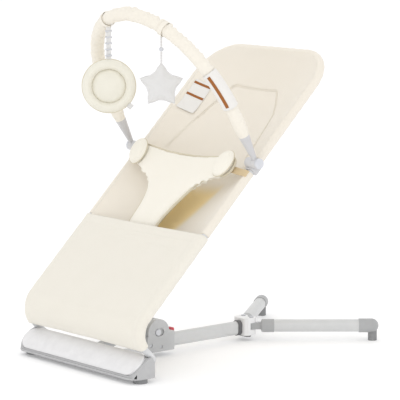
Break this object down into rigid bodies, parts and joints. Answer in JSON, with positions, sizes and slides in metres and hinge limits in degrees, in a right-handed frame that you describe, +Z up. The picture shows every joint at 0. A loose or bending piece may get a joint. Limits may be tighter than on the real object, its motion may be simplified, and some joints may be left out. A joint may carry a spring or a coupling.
{
  "type": "bouncer seat",
  "caption": "Folding baby bouncer seat: fabric sling on a sprung tube frame, hinged floor stand with splayed rear arms, harness bib and swinging toy bar with hanging toys.",
  "frame": {"origin": "on the floor, at the middle of the footprint box", "axes": "+Z up, +Y from the foot end to the head end, +X towards the star toy's side"},
  "size_m": [0.4036, 0.641, 0.6821],
  "materials": {
    "white_shell": "satin moulded",
    "grey_shell": "fine moulded grain",
    "hinge_grey": "fine moulded grain",
    "hub_white": "satin moulded",
    "dark_grey": "satin moulded",
    "rubber": "matt",
    "steel": "zinc plated",
    "painted_tube": "powder coat",
    "strut_alu": "satin anodised",
    "red_plastic": "satin moulded",
    "sling_fabric": "air mesh",
    "apron_fabric": "smooth knit",
    "bib_fabric": "soft padded knit",
    "tab_webbing": "woven tape",
    "label_cloth": "printed satin tape",
    "sleeve_fabric": "ruched knit",
    "toy_fabric": "soft knit",
    "star_fabric": "brushed velour"
  },
  "bodies": {
    "floor_stand": {"base_shell": "grey_shell", "base_cover": "white_shell", "base_plate": "grey_shell", "base_feet": "rubber", "base_screws": "steel", "spine_bar": "painted_tube", "housing_left": "hinge_grey", "housing_right": "hinge_grey", "hinge_bolt": "steel", "hinge_nut": "steel", "housing_screws": "steel", "strut_tube": "strut_alu", "strut_ring": "dark_grey", "rear_hub": "hub_white", "hub_pad": "rubber", "arm_pins": "steel"},
    "lock": {"lock_slide": "red_plastic", "lock_spring": "steel"},
    "arm_left": {"arm_knuckle_left": "dark_grey", "arm_tube_left": "strut_alu", "arm_collar_left": "dark_grey", "arm_cap_left": "dark_grey", "arm_foot_left": "rubber"},
    "arm_right": {"arm_knuckle_right": "dark_grey", "arm_tube_right": "strut_alu", "arm_collar_right": "dark_grey", "arm_cap_right": "dark_grey", "arm_foot_right": "rubber"},
    "lower_frame": {"hinge_disc": "steel", "bracket_rivet": "steel", "frame_bracket": "hinge_grey", "cross_tube": "painted_tube", "lower_bend_left": "painted_tube", "lower_bend_right": "painted_tube"},
    "seat": {"foot_bend_left": "painted_tube", "foot_bend_right": "painted_tube", "side_tube_left": "painted_tube", "side_tube_right": "painted_tube", "top_bow": "painted_tube", "sling": "sling_fabric", "apron": "apron_fabric", "harness_bib": "bib_fabric", "harness_buttons": "bib_fabric", "harness_tabs": "tab_webbing", "care_label": "label_cloth", "bar_clamp_left": "grey_shell", "bar_clamp_right": "grey_shell", "clamp_pins": "steel"},
    "toy_bar": {"toy_bar_tube": "painted_tube", "bar_sleeve": "sleeve_fabric", "bar_connector_left": "grey_shell", "bar_connector_right": "grey_shell", "bar_label": "label_cloth"},
    "round_toy": {"disc_toy": "toy_fabric", "disc_strap": "toy_fabric"},
    "star": {"star_toy": "star_fabric", "star_cord": "toy_fabric"}
  },
  "joints": [
    {"name": "seat_recline", "type": "hinge", "parent": "floor_stand", "child": "lower_frame", "pos_m": [0, -0.12553, 0.049], "axis": [-1, 0, 0], "range_deg": [0, 40]},
    {"name": "seat_bounce", "type": "hinge", "parent": "lower_frame", "child": "seat", "pos_m": [0, -0.28323, 0.0603], "axis": [-1, 0, 0], "range_deg": [-3, 4], "stiffness_Nm_per_rad": 260, "springref_deg": -0.63},
    {"name": "toy_bar_swing", "type": "hinge", "parent": "seat", "child": "toy_bar", "pos_m": [0, -0.02429, 0.38916], "axis": [1, 0, 0], "range_deg": [-65, 35]},
    {"name": "round_toy_swing", "type": "hinge", "parent": "toy_bar", "child": "round_toy", "pos_m": [-0.0728, -0.17681, 0.65547], "axis": [0.9104, -0.2056, 0.359], "range_deg": [-35, 35]},
    {"name": "star_swing", "type": "hinge", "parent": "toy_bar", "child": "star", "pos_m": [0.09341, -0.17131, 0.64586], "axis": [0.8475, 0.2638, -0.4606], "range_deg": [-35, 35]},
    {"name": "arm_left_fold", "type": "hinge", "parent": "floor_stand", "child": "arm_left", "pos_m": [-0.012, 0.11947, 0.03], "axis": [0, 0, -1], "range_deg": [0, 34]},
    {"name": "arm_right_fold", "type": "hinge", "parent": "floor_stand", "child": "arm_right", "pos_m": [0.012, 0.11947, 0.03], "axis": [0, 0, 1], "range_deg": [0, 34]},
    {"name": "lock_pull", "type": "slide", "parent": "floor_stand", "child": "lock", "axis": [0, 1, 0], "range_m": [0, 0.004], "stiffness_N_per_m": 1500, "deforming": ["lock_spring"]}
  ]
}
